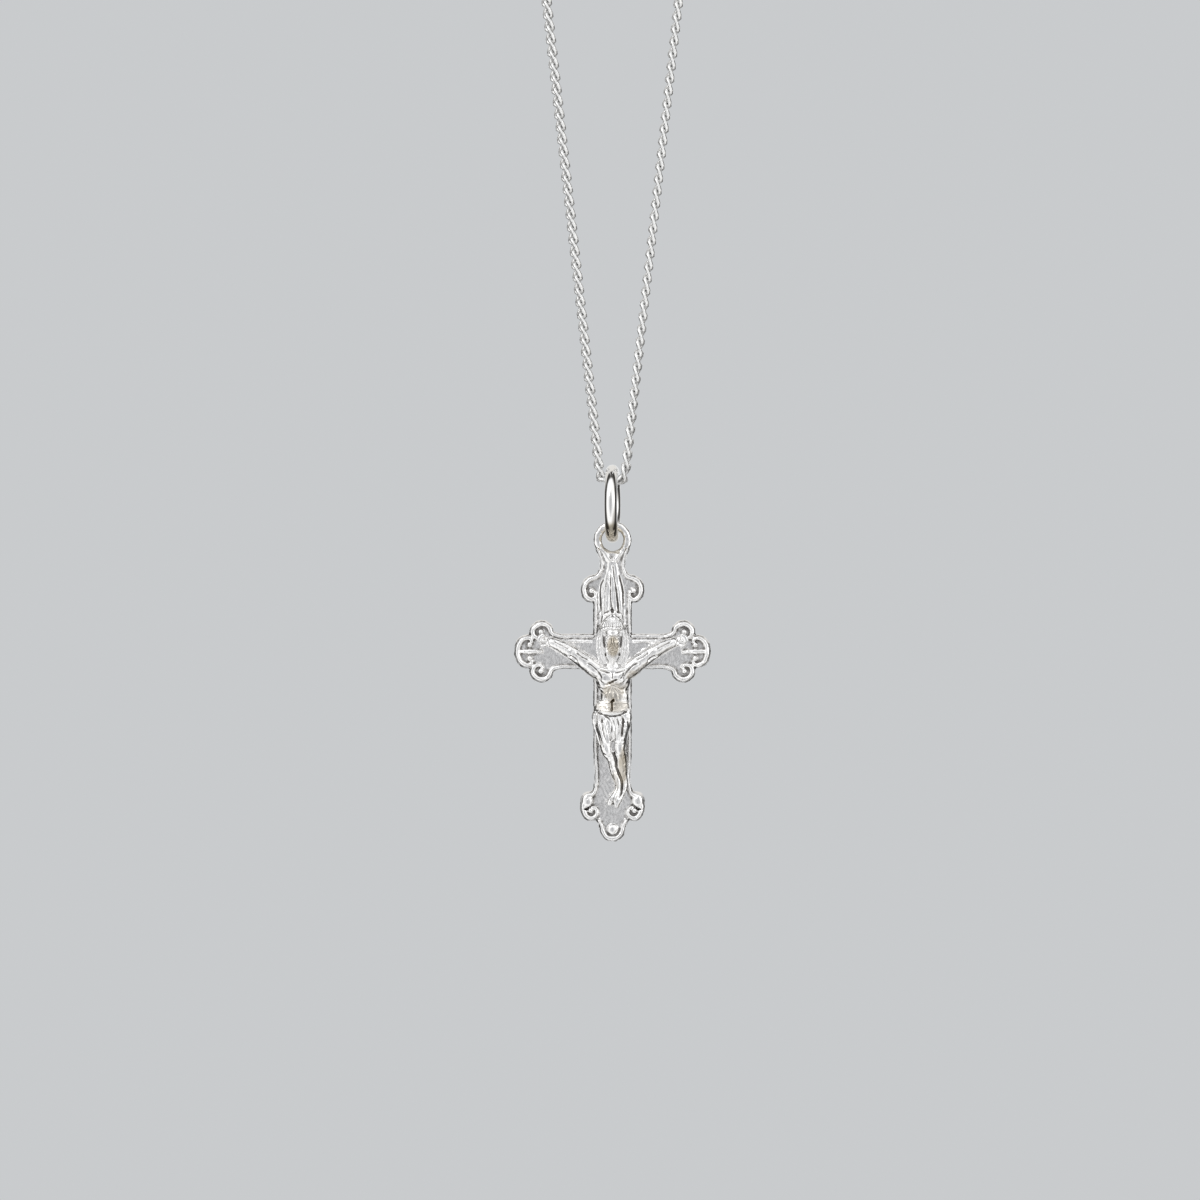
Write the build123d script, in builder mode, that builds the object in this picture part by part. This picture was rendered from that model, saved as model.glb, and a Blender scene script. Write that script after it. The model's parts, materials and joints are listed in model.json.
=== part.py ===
import os
from math import asin, cos, pi, radians, sin, tan

from build123d import *

# A cast silver crucifix on a jump ring, hanging from a closed curb chain. Millimetres, +Z up, the
# figure faces -Y. The origin is the top of the round peg or neck that the chain hangs over.

# The chain as an even tube of the chain's width. It hangs in a straight sided V: one bend round
# the jump ring's wire below, one round the peg above.
chain_length = 457.0  # the whole loop, clasp included
chain_width = 1.1
strand_angle = 6.4  # degrees from vertical, each side of the V

# Rings: outer diameter and wire
gap = 0.1  # free play between two pieces that hang on each other
jump_ring_outer = 7.2
jump_ring_wire = 1.2
jump_ring_yaw = -3.5  # degrees that the ring is turned on the chain, seen from above
catch_ring_outer = 3.6
catch_ring_wire = 0.6
link_ring_outer = 3.0
link_ring_wire = 0.5

# Clasp: a plain closed bolt ring with its eye and thumb knob
bolt_ring_outer = 5.5
bolt_ring_tube = 1.1
eye_outer = 2.2
eye_wire = 0.55
eye_sink = 0.22  # how far the eye is let into the bolt ring
knob_length = 1.1
knob_stand = 0.83  # how far the knob stands out of the ring
knob_width = 0.7
clasp_drop = 12.0  # from the peg's tangent point down to the chain's end at the clasp

# Cross, measured from the middle of the crossbar
shaft_width = 3.54
bar_width = 3.2
plate_back = 0.5
field_front = -0.35
rail_front = -0.6
rail_width = 0.42
upper_square_end = 5.2  # where the upper arm starts to taper
lower_square_end = 15.6
bar_square_end = 7.2
eye_height = 10.26  # the hanging eye's middle
cross_eye_radius = 1.38  # to the middle of its wire
cross_eye_wire = 0.7
groove_radius = 0.6  # the round groove that leaves a rim and a boss on each lobe
groove_wire = 0.32
flute_pitch = 0.66  # the fan of raised flutes on the upper arm, at its foot
flute_width = 0.44
flute_height = 0.16
flute_foot = 2.6
flute_top = 7.6
flute_taper = 0.3  # pitch and width at the fan's top, as a share of those at its foot

# The tapered neck between the upper scrolls and the hanging eye: height and width there
neck_levels = [
    dict(z=upper_square_end, width=3.1),
    dict(z=7.1, width=2.5),
    dict(z=8.6, width=1.74),
    dict(z=9.1, width=1.5),
]

# The rounded lobes of the outline: middle, half width and half height. Each one away from x = 0
# has its mirror twin.
side_lobes = [
    dict(x=1.9, z=5.65, half_width=0.95, half_height=1.27),
    dict(x=6.58, z=1.85, half_width=1.05, half_height=1.0),
    dict(x=6.58, z=-1.85, half_width=1.05, half_height=1.0),
    dict(x=7.7, z=0.0, half_width=1.3, half_height=1.4),
    dict(x=2.05, z=-14.35, half_width=0.93, half_height=1.3),
]
foot_lobe = dict(x=0.0, z=-16.4, half_width=1.1, half_height=1.1)

# The figure's forms as levels from the top down: middle, half width and half depth there
hair_levels = [
    dict(z=3.6, x=0.0, y=-0.55, half_width=0.2, half_depth=0.25),
    dict(z=2.9, x=0.0, y=-0.7, half_width=0.8, half_depth=0.7),
    dict(z=1.9, x=0.0, y=-0.75, half_width=1.3, half_depth=0.95),
    dict(z=0.6, x=0.0, y=-0.65, half_width=1.6, half_depth=0.85),
    dict(z=-0.7, x=0.0, y=-0.6, half_width=1.6, half_depth=0.7),
    dict(z=-1.9, x=0.0, y=-0.6, half_width=1.2, half_depth=0.6),
]
face_levels = [
    dict(z=2.45, x=0.0, y=-1.1, half_width=0.55, half_depth=0.45),
    dict(z=1.8, x=0.0, y=-1.15, half_width=0.9, half_depth=0.75),
    dict(z=0.7, x=0.0, y=-1.2, half_width=0.95, half_depth=0.85),
    dict(z=-0.4, x=0.0, y=-1.2, half_width=0.72, half_depth=0.75),
    dict(z=-1.25, x=0.0, y=-1.15, half_width=0.4, half_depth=0.5),
    dict(z=-1.75, x=0.0, y=-1.1, half_width=0.15, half_depth=0.25),
]
torso_levels = [
    dict(z=-0.9, x=0.0, y=-0.6, half_width=1.0, half_depth=0.5),
    dict(z=-1.7, x=0.0, y=-0.75, half_width=1.95, half_depth=0.7),
    dict(z=-2.8, x=0.0, y=-0.8, half_width=1.65, half_depth=0.85),
    dict(z=-4.3, x=0.05, y=-0.75, half_width=1.2, half_depth=0.7),
    dict(z=-5.2, x=0.0, y=-0.8, half_width=1.45, half_depth=0.8),
    dict(z=-6.2, x=-0.05, y=-0.8, half_width=1.83, half_depth=0.95),
    dict(z=-7.6, x=0.0, y=-0.8, half_width=1.6, half_depth=0.95),
    dict(z=-8.8, x=0.1, y=-0.8, half_width=1.2, half_depth=0.85),
]

# Limbs as points from the trunk outwards: middle and radius there. The left arm mirrors the right.
arm_points = [
    dict(x=1.4, y=-0.85, z=-1.75, radius=0.76),
    dict(x=3.45, y=-0.8, z=-0.35, radius=0.66),
    dict(x=5.3, y=-0.68, z=0.45, radius=0.48),
    dict(x=6.25, y=-0.6, z=0.82, radius=0.58),
]
left_leg_points = [
    dict(x=-0.75, y=-0.85, z=-7.2, radius=0.8),
    dict(x=-0.5, y=-1.25, z=-9.3, radius=0.62),
    dict(x=0.35, y=-0.85, z=-12.6, radius=0.42),
    dict(x=-0.1, y=-0.95, z=-13.9, radius=0.38),
]
right_leg_points = [
    dict(x=0.85, y=-0.85, z=-7.2, radius=0.8),
    dict(x=0.8, y=-1.2, z=-9.1, radius=0.62),
    dict(x=1.0, y=-0.75, z=-12.5, radius=0.4),
    dict(x=0.5, y=-0.8, z=-14.1, radius=0.34),
]

# Where the pieces hang, worked out from the peg downwards
chain_radius = chain_width / 2
jump_ring_radius = (jump_ring_outer - jump_ring_wire) / 2
catch_ring_radius = (catch_ring_outer - catch_ring_wire) / 2
link_ring_radius = (link_ring_outer - link_ring_wire) / 2
bolt_ring_radius = (bolt_ring_outer - bolt_ring_tube) / 2
eye_radius = (eye_outer - eye_wire) / 2

lean = radians(strand_angle)
ring_bend = jump_ring_wire / 2 + gap + chain_radius
peg_bend = (chain_length + 2 * ring_bend / tan(lean) - ring_bend * (pi - 2 * lean)) / (
    2 / tan(lean) + pi + 2 * lean
)
centre_distance = (peg_bend - ring_bend) / sin(lean)
peg_z = chain_radius - peg_bend
ring_top_z = peg_z - centre_distance
swing_z = ring_top_z - ring_bend
jump_ring_z = ring_top_z - jump_ring_radius
ring_foot_z = jump_ring_z - jump_ring_radius
eye_drop = cross_eye_radius - cross_eye_wire / 2 - jump_ring_wire / 2 - gap
cross_z = ring_foot_z - eye_drop - eye_height

# Left strand, seen from the front: its upper tangent point and the direction down it
strand_top = Vector(-peg_bend * cos(lean), 0, peg_z - peg_bend * sin(lean))
down = Vector(sin(lean), 0, -cos(lean))
across = Vector(cos(lean), 0, sin(lean))

# Distances down the left strand of what hangs in it
catch_top = clasp_drop + gap + catch_ring_wire / 2
catch_middle = catch_top + catch_ring_radius
bolt_top = catch_middle + catch_ring_radius - catch_ring_wire / 2 - gap - bolt_ring_tube / 2
bolt_middle = bolt_top + bolt_ring_radius
eye_middle = bolt_middle + bolt_ring_outer / 2 + eye_outer / 2 - eye_sink
link_top = eye_middle + eye_radius - eye_wire / 2 - gap / 2 - link_ring_wire / 2
link_middle = link_top + link_ring_radius
chain_restart = link_middle + link_ring_outer / 2 + gap


def on_strand(distance):
    return strand_top + down * distance


def on_cross(point):
    return Vector(point["x"], point.get("y", 0), cross_z + point["z"])


def cross_plane(y):
    """The plane at depth y, seen from the front, with its origin at the crossbar's middle."""
    return Plane(origin=(0, y, cross_z), x_dir=(1, 0, 0), z_dir=(0, -1, 0))


def draw_beams(inset=0):
    """Shaft, crossbar and tapered neck in the current sketch, with all edges moved in."""
    shaft_height = upper_square_end + lower_square_end
    with Locations((0, upper_square_end - shaft_height / 2)):
        Rectangle(shaft_width - 2 * inset, shaft_height)
    Rectangle(2 * bar_square_end, bar_width - 2 * inset)
    right_edge = [(level["width"] / 2 - inset, level["z"]) for level in neck_levels]
    left_edge = [(-x, z) for x, z in reversed(right_edge)]
    Polygon(*right_edge, *left_edge, align=None)


def draw_cross():
    """The cross's outline, without the hanging eye, in the current sketch."""
    draw_beams()
    for lobe in side_lobes:
        with Locations((lobe["x"], lobe["z"]), (-lobe["x"], lobe["z"])):
            Ellipse(lobe["half_width"], lobe["half_height"])
    with Locations((foot_lobe["x"], foot_lobe["z"])):
        Ellipse(foot_lobe["half_width"], foot_lobe["half_height"])


def limb(points, side=1):
    """Round joints with tapered lengths between them. Side -1 mirrors the limb."""
    centres = [Vector(side * p["x"], p["y"], cross_z + p["z"]) for p in points]
    for centre, point in zip(centres, points):
        with Locations(centre):
            Sphere(point["radius"])
    for i in range(len(points) - 1):
        run = centres[i + 1] - centres[i]
        with Locations(Plane(origin=centres[i] + run / 2, z_dir=run)):
            Cone(points[i]["radius"], points[i + 1]["radius"], run.length)


with BuildPart() as chain:
    with BuildLine(Plane.XZ) as route:
        strand_start = on_strand(chain_restart)
        strand_foot = (-ring_bend * cos(lean), ring_top_z - ring_bend * sin(lean))
        left_strand = Line((strand_start.X, strand_start.Z), strand_foot)
        ring_turn = ThreePointArc(
            left_strand @ 1, (0, swing_z), (-strand_foot[0], strand_foot[1])
        )
        right_strand = Line(ring_turn @ 1, (-strand_top.X, strand_top.Z))
        peg_turn = ThreePointArc(
            right_strand @ 1, (0, chain_radius), (strand_top.X, strand_top.Z)
        )
        chain_end = on_strand(clasp_drop)
        Line(peg_turn @ 1, (chain_end.X, chain_end.Z))
    with BuildSketch(Plane(origin=route.line @ 0, z_dir=route.line % 0)):
        Circle(chain_radius)
    sweep()
chain.part.label = "chain"

with BuildPart(Plane(origin=on_strand(catch_middle), z_dir=across)) as catch_ring:
    Torus(catch_ring_radius, catch_ring_wire / 2)
catch_ring.part.label = "catch_ring"

with BuildPart() as clasp:
    with Locations(Plane(origin=on_strand(bolt_middle), z_dir=(0, 1, 0))):
        Torus(bolt_ring_radius, bolt_ring_tube / 2)
    with Locations(Plane(origin=on_strand(eye_middle), z_dir=(0, 1, 0))):
        Torus(eye_radius, eye_wire / 2)
    knob_reach = bolt_ring_outer / 2 + knob_stand - knob_length / 2
    knob_middle = on_strand(bolt_middle) - across * knob_reach
    with Locations(Plane(origin=knob_middle, z_dir=across)):
        Cylinder(knob_width / 2, knob_length)
clasp.part.label = "clasp"

with BuildPart(Plane(origin=on_strand(link_middle), z_dir=across)) as link_ring:
    Torus(link_ring_radius, link_ring_wire / 2)
link_ring.part.label = "link_ring"

yaw = radians(jump_ring_yaw)
ring_plane = Plane(origin=(0, 0, jump_ring_z), z_dir=(cos(yaw), sin(yaw), 0))
with BuildPart(ring_plane) as jump_ring:
    Torus(jump_ring_radius, jump_ring_wire / 2)
jump_ring.part.label = "jump_ring"

with BuildPart() as crucifix:
    with BuildSketch(cross_plane(plate_back)):
        draw_cross()
    extrude(amount=plate_back - rail_front)
    with BuildSketch(cross_plane(field_front)):
        draw_beams(inset=rail_width)
    extrude(amount=field_front - rail_front, mode=Mode.SUBTRACT)
    with BuildSketch(cross_plane(field_front)):
        for step in (-1, 0, 1):
            edge = step * flute_pitch - flute_width / 2
            foot_line = [(edge, flute_foot), (edge + flute_width, flute_foot)]
            top_line = [(x * flute_taper, flute_top) for x, _ in reversed(foot_line)]
            Polygon(*foot_line, *top_line, align=None)
    extrude(amount=flute_height)
    with Locations(Plane(origin=(0, 0, cross_z + eye_height), z_dir=(0, 1, 0))):
        Torus(cross_eye_radius, cross_eye_wire / 2)
    for lobe in (*side_lobes, foot_lobe):
        for x in {lobe["x"], -lobe["x"]}:
            with Locations(Plane(origin=(x, rail_front, cross_z + lobe["z"]), z_dir=(0, 1, 0))):
                Torus(groove_radius, groove_wire / 2, mode=Mode.SUBTRACT)
    for levels in (torso_levels, hair_levels, face_levels):
        for level in levels:
            with BuildSketch(Plane(origin=on_cross(level))):
                Ellipse(level["half_width"], level["half_depth"])
        loft()
    limb(arm_points)
    limb(arm_points, side=-1)
    limb(left_leg_points)
    limb(right_leg_points)
crucifix.part.label = "crucifix"

os.makedirs("parts", exist_ok=True)
for piece in (chain, catch_ring, clasp, link_ring, jump_ring, crucifix):
    export_step(piece.part, f"parts/{piece.part.label}.step")

chain_run = sum(edge.length for edge in route.edges())
tube_volume = pi * chain_radius**2 * chain_run
print(f"chain {chain_run:.1f} mm long, volume {chain.part.volume:.2f}, tube {tube_volume:.2f}")
print(f"peg bend {peg_bend:.2f}, swing at z {swing_z:.3f}, ring foot at z {ring_foot_z:.3f}")
print(f"cross middle at z {cross_z:.3f}, crucifix volume {crucifix.part.volume:.1f}")
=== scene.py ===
import json
import math

import bpy
import numpy as np
from mathutils import Matrix, Vector


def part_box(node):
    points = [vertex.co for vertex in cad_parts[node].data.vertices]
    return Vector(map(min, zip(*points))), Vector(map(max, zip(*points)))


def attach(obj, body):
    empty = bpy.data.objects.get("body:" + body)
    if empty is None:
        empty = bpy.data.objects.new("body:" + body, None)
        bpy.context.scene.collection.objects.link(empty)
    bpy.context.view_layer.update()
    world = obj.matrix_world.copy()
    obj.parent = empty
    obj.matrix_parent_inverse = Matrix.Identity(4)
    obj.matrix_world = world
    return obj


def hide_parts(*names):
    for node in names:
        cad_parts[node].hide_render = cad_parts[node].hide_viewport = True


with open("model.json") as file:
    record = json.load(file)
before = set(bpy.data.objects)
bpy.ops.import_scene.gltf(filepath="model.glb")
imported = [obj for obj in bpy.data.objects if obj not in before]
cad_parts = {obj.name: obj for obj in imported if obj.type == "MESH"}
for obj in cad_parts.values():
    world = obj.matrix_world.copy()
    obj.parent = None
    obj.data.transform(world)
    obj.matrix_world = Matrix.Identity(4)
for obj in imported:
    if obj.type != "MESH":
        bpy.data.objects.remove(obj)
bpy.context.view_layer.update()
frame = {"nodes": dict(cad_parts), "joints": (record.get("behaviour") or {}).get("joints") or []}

# Everything that is worked out from the CAD frame, in millimetres
footDrop = 17.5  # from the middle of the crossbar down to the foot
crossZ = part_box("crucifix")[0].z * 1000 + footDrop
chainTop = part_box("chain")[1]
tubeRadius = chainTop.z * 500
pegBend = chainTop.x * 1000 - tubeRadius
ringLow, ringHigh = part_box("jump_ring")
ringMiddle = (ringLow + ringHigh) * 500
ringAxis = Vector(frame["joints"][0]["axis"])
swingZ = frame["joints"][0]["pos_m"][2] * 1000
print("frame loaded, crossbar at z", round(crossZ, 3))


# Small helpers
def clearSelection():
    if bpy.context.object and bpy.context.object.mode != "OBJECT":
        bpy.ops.object.mode_set(mode="OBJECT")
    bpy.ops.object.select_all(action="DESELECT")


def pick(obj):
    clearSelection()
    obj.select_set(True)
    bpy.context.view_layer.objects.active = obj
    return obj


def joinAs(name, objects):
    clearSelection()
    for obj in objects:
        obj.select_set(True)
    bpy.context.view_layer.objects.active = objects[0]
    if len(objects) > 1:
        bpy.ops.object.join()
    joined = bpy.context.object
    joined.name = name
    joined.data.name = name
    return joined


def useModifier(obj, kind, **settings):
    pick(obj)
    bpy.ops.object.modifier_add(type=kind)
    modifier = obj.modifiers[-1]
    for name, value in settings.items():
        setattr(modifier, name, value)
    bpy.ops.object.modifier_apply(modifier=modifier.name)
    return obj


def bakePlace(obj):
    pick(obj)
    bpy.ops.object.transform_apply(location=True, rotation=True, scale=True)
    return obj


def toFrame(obj, middle):  # from millimetres round its own middle to metres in the frame
    obj.scale = (0.001, 0.001, 0.001)
    obj.location = Vector(middle) / 1000
    return bakePlace(obj)


def shadeSmooth(obj):
    pick(obj)
    bpy.ops.object.shade_smooth()
    return obj


def mirrored(points):
    return [(-x, *rest) for x, *rest in points]


def addBlob(middle, size):
    clearSelection()
    bpy.ops.mesh.primitive_uv_sphere_add(segments=32, ring_count=20, location=middle)
    blob = bpy.context.object
    blob.scale = size
    return bakePlace(blob)


def addStrands(strands, steps=6, sides=2):  # tapered round strands through points x, y, z, radius
    clearSelection()
    bpy.ops.curve.primitive_bezier_curve_add(location=(0, 0, 0))
    obj = bpy.context.object
    curve = obj.data
    curve.splines.clear()
    curve.dimensions = "3D"
    curve.resolution_u = steps
    curve.bevel_depth = 1
    curve.bevel_resolution = sides
    curve.use_fill_caps = True
    for strand in strands:
        spline = curve.splines.new("BEZIER")
        spline.bezier_points.add(len(strand) - 1)
        for knot, (x, y, z, radius) in zip(spline.bezier_points, strand):
            knot.co = (x, y, z)
            knot.radius = radius
            knot.handle_left_type = "AUTO"
            knot.handle_right_type = "AUTO"
    bpy.ops.object.convert(target="MESH")
    return bpy.context.object


def thinMesh(obj, triangles):  # few enough triangles, the flat stretches first
    obj.data.calc_loop_triangles()
    share = triangles / len(obj.data.loop_triangles)
    if share < 1:
        useModifier(obj, "DECIMATE", ratio=share)
    return obj


def addSlab(outline, back, front):  # a flat outline of x, z points with a thickness along y
    clearSelection()
    bpy.ops.mesh.primitive_circle_add(vertices=len(outline), fill_type="NGON")
    slab = bpy.context.object
    for vertex, (x, z) in zip(slab.data.vertices, outline):
        vertex.co = (x, back, z)
    bpy.ops.object.mode_set(mode="EDIT")
    bpy.ops.mesh.select_all(action="SELECT")
    bpy.ops.mesh.extrude_region_move(TRANSFORM_OT_translate={"value": (0, front - back, 0)})
    bpy.ops.mesh.select_all(action="SELECT")
    bpy.ops.mesh.normals_make_consistent(inside=False)
    bpy.ops.object.mode_set(mode="OBJECT")
    return slab


def ellipse(x, z, halfWidth, halfHeight, count=40):
    angles = [2 * math.pi * i / count for i in range(count)]
    return [(x + halfWidth * math.cos(a), z + halfHeight * math.sin(a)) for a in angles]


# Shader nodes
class Signal:  # one output socket, so that shader maths reads as plain sums
    def __init__(self, bench, socket):
        self.bench = bench
        self.socket = socket

    def __add__(self, other):
        return self.bench.maths("ADD", self, other)

    def __radd__(self, other):
        return self.bench.maths("ADD", other, self)

    def __sub__(self, other):
        return self.bench.maths("SUBTRACT", self, other)

    def __rsub__(self, other):
        return self.bench.maths("SUBTRACT", other, self)

    def __mul__(self, other):
        return self.bench.maths("MULTIPLY", self, other)

    def __rmul__(self, other):
        return self.bench.maths("MULTIPLY", other, self)


class ShaderBench:
    def __init__(self, owner):
        owner.use_nodes = True
        self.tree = owner.node_tree
        self.tree.nodes.clear()

    def node(self, kind, settings=None, values=None, output=0):
        made = self.tree.nodes.new(kind)
        for name, setting in (settings or {}).items():
            if name == "stops":
                self.setStops(made.color_ramp, setting)
            else:
                setattr(made, name, setting)
        for name, value in (values or {}).items():
            if isinstance(value, Signal):
                self.tree.links.new(value.socket, made.inputs[name])
            else:
                made.inputs[name].default_value = value
        return Signal(self, made.outputs[output]) if made.outputs else made

    def maths(self, operation, *terms):
        return self.node("ShaderNodeMath", {"operation": operation}, dict(enumerate(terms)))

    def split(self, vector):
        parts = self.node("ShaderNodeSeparateXYZ", None, {0: vector}).socket.node
        return [Signal(self, output) for output in parts.outputs]

    def setStops(self, ramp, stops):
        ramp.elements.remove(ramp.elements[1])
        ramp.elements[0].position = stops[0][0]
        ramp.elements[0].color = (*stops[0][1], 1)
        for place, colour in stops[1:]:
            ramp.elements.new(place).color = (*colour, 1)

    def smooth(self, value, low, high):
        settings = {"interpolation_type": "SMOOTHSTEP"}
        return self.node("ShaderNodeMapRange", settings, {"Value": value, "From Min": low, "From Max": high})

    def blend(self, factor, first, second):
        values = {"Factor": factor, 6: first, 7: second}
        return self.node("ShaderNodeMix", {"data_type": "RGBA"}, values, 2)


# Camera, light and floor
studio = {
    "cameraPlace": (-0.00115, -0.45, -0.22385),
    "lens": 146.7,
    "backdrop": (0.584, 0.598, 0.611),
    "lampAim": (0, 0, -0.228),
    "lamps": [  # name, place, size, power, colour
        ("softKey", (-0.35, -0.55, 0.25), 0.42, 0.65, (1.0, 0.99, 0.97)),
        ("softFill", (0.5, -0.35, -0.1), 0.4, 0.22, (0.97, 0.98, 1.0)),
    ],
    "floorZ": -0.42,
    "floorRadius": 0.125,
    "floorColour": (0.80, 0.81, 0.82),
    "floorFade": (0.98, 0.45),  # where it has faded out and where it starts to, by the radius
    "floorMottle": 1.05,  # how much paler its palest spots are
}


def addCamera():
    bpy.ops.object.camera_add(location=studio["cameraPlace"], rotation=(math.pi / 2, 0, 0))
    camera = bpy.context.object
    camera.data.sensor_width = 36
    camera.data.lens = studio["lens"]
    camera.data.clip_start = 0.01
    camera.data.clip_end = 10
    bpy.context.scene.camera = camera


lightTent = {  # what the silver mirrors, by depth: 0 is in front of the figure, 1 behind it
    "panels": [
        (0.0, (0.56, 0.565, 0.575)),
        (0.02, (0.58, 0.585, 0.595)),
        (0.06, (0.79, 0.795, 0.80)),
        (0.13, (1.08, 1.08, 1.08)),
        (0.33, (1.09, 1.09, 1.08)),
        (0.39, (0.60, 0.59, 0.57)),
        (0.45, (0.14, 0.135, 0.13)),
        (0.52, (0.05, 0.048, 0.045)),
        (0.76, (0.05, 0.049, 0.047)),
        (0.84, (0.36, 0.36, 0.36)),
        (0.90, (0.66, 0.67, 0.68)),
        (1.0, (0.84, 0.85, 0.86)),
    ],
    "frontEdge": (0.46, 0.36),  # the depths between which the shadow and the top fade in
    # the dark slit straight ahead, half width and depth
    "seam": {"colour": (0.12, 0.12, 0.13), "strength": 0.75, "side": (0.045, 0.02), "depth": (0.14, 0.08)},
    # the patch low on the right and the pale one high up: how far right, how far up, their edges
    "shadow": {"colour": (0.30, 0.28, 0.25), "strength": 0.75, "right": 0.6, "up": -0.6, "edge": (0.5, 0.85)},
    "top": {"colour": (1.06, 1.07, 1.09), "strength": 1, "right": -0.4, "up": 0.85, "edge": (0.5, 0.75)},
    # the warm panel over and behind the chain
    "above": {"colour": (0.80, 0.785, 0.76), "strength": 1, "depth": (0.62, 0.72), "height": (0.2, 0.5)},
}


def addLightTent():
    world = bpy.data.worlds.new("lightTent")
    bpy.context.scene.world = world
    bench = ShaderBench(world)
    x, y, z = bench.split(bench.node("ShaderNodeTexCoord"))
    depth = y * 0.5 + 0.5
    tent = bench.node("ShaderNodeValToRGB", {"stops": lightTent["panels"]}, {0: depth})
    seam, above = lightTent["seam"], lightTent["above"]
    near = bench.smooth(depth, *lightTent["frontEdge"])
    aside = bench.maths("ABSOLUTE", x)
    masks = {"seam": bench.smooth(aside, *seam["side"]) * bench.smooth(depth, *seam["depth"])}
    for name in ("shadow", "top"):
        patch = lightTent[name]
        masks[name] = bench.smooth(x * patch["right"] + z * patch["up"], *patch["edge"]) * near
    masks["above"] = bench.smooth(depth, *above["depth"]) * bench.smooth(z, *above["height"])
    for name, mask in masks.items():
        tent = bench.blend(mask * lightTent[name]["strength"], tent, (*lightTent[name]["colour"], 1))
    reflected = bench.node("ShaderNodeBackground", None, {"Color": tent, "Strength": 1.0})
    seen = bench.node("ShaderNodeBackground", None, {"Color": (*studio["backdrop"], 1), "Strength": 1.0})
    cameraRay = bench.node("ShaderNodeLightPath")
    mixed = bench.node("ShaderNodeMixShader", None, {0: cameraRay, 1: reflected, 2: seen})
    bench.node("ShaderNodeOutputWorld", None, {0: mixed})
    bpy.context.scene.view_settings.view_transform = "Standard"
    bpy.context.scene.view_settings.look = "None"


def addLamp(name, place, size, power, colour):
    bpy.ops.object.light_add(type="AREA", location=place)
    lamp = bpy.context.object
    lamp.name = name
    lamp.data.shape = "DISK"
    lamp.data.size = size
    lamp.data.energy = power
    lamp.data.color = colour
    aim = Vector(studio["lampAim"]) - Vector(place)
    lamp.rotation_euler = aim.to_track_quat("-Z", "Y").to_euler()


def addFloor():
    clearSelection()
    bpy.ops.mesh.primitive_circle_add(
        vertices=96, radius=studio["floorRadius"], fill_type="NGON", location=(0, 0, studio["floorZ"])
    )
    floor = bakePlace(bpy.context.object)
    floor.name = "floor"
    material = bpy.data.materials.new("palePaper")
    bench = ShaderBench(material)
    place = bench.node("ShaderNodeTexCoord", output=3)
    middle = (0, 0, studio["floorZ"])
    reach = bench.node("ShaderNodeVectorMath", {"operation": "DISTANCE"}, {0: place, 1: middle}, 1)
    fade = bench.smooth(reach, *(studio["floorRadius"] * share for share in studio["floorFade"]))
    mottle = bench.node("ShaderNodeTexNoise", None, {"Vector": place, "Scale": 60.0, "Detail": 3.0})
    paler = tuple(c * studio["floorMottle"] for c in studio["floorColour"])
    colour = bench.blend(mottle, (*studio["floorColour"], 1), (*paler, 1))
    values = {"Base Color": colour, "Roughness": 0.7, "Alpha": fade}
    paper = bench.node("ShaderNodeBsdfPrincipled", None, values)
    bench.node("ShaderNodeOutputMaterial", None, {0: paper})
    floor.data.materials.append(material)


# Silver: bright where it is rubbed, dull in its clouds and, by recess, darker in its hollows: painted shade
# in the creases and between links, with the patina a casting keeps in its hollows
finishes = {
    "cloudEdge": (0.35, 0.7),  # how the noise is spread into clouds, the same for all
    "grainInRoughness": 0.04,
    "cloudInBump": 0.8,
    # how much the noise breaks up the painted warm shade
    "cloudInPaintedShade": 0.5,
    "cast": {
        "bright": (0.96, 0.955, 0.95), "dullAndShade": (0.13, 0.12, 0.11),
        "roughness": 0.15, "roughnessSpread": 0.18,
        "cloudScale": 900.0, "grainScale": 6000.0, "cloudDepth": 0.05, "bump": 0.3, "bumpHeight": 0.00003,
        # the recess: painted shade in the creases, with the patina a casting keeps there
        "recess": (0.05, 0.65), "recessShade": 0.9,
        # the colour of the painted warm shade
        "shadeTint": (0.50, 0.45, 0.37),
    },
    "wire": {
        "bright": (0.96, 0.955, 0.945), "dullAndShade": (0.80, 0.78, 0.75),
        "roughness": 0.05, "roughnessSpread": 0.08,
        "cloudScale": 1200.0, "grainScale": 5000.0, "cloudDepth": 0.25, "bump": 0.12, "bumpHeight": 0.00001,
        # the colour of the painted warm shade
        "shadeTint": (0.46, 0.41, 0.32),
    },
    "links": {
        "bright": (0.99, 0.99, 0.985), "dullAndShade": (0.60, 0.595, 0.59),
        "roughness": 0.38, "roughnessSpread": 0.06,
        "cloudScale": 1500.0, "grainScale": 6000.0, "cloudDepth": 0.1, "bump": 0.1, "bumpHeight": 0.00001,
        # the recess: painted shade on the links' inner faces, where they shade each other
        "recess": (0.0, 0.8), "recessShade": 0.8,
    },
    "clasp": {
        "bright": (0.95, 0.945, 0.935), "dullAndShade": (0.72, 0.70, 0.67),
        "roughness": 0.08, "roughnessSpread": 0.10,
        "cloudScale": 700.0, "grainScale": 4000.0, "cloudDepth": 0.3, "bump": 0.15, "bumpHeight": 0.00001,
    },
}


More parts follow.
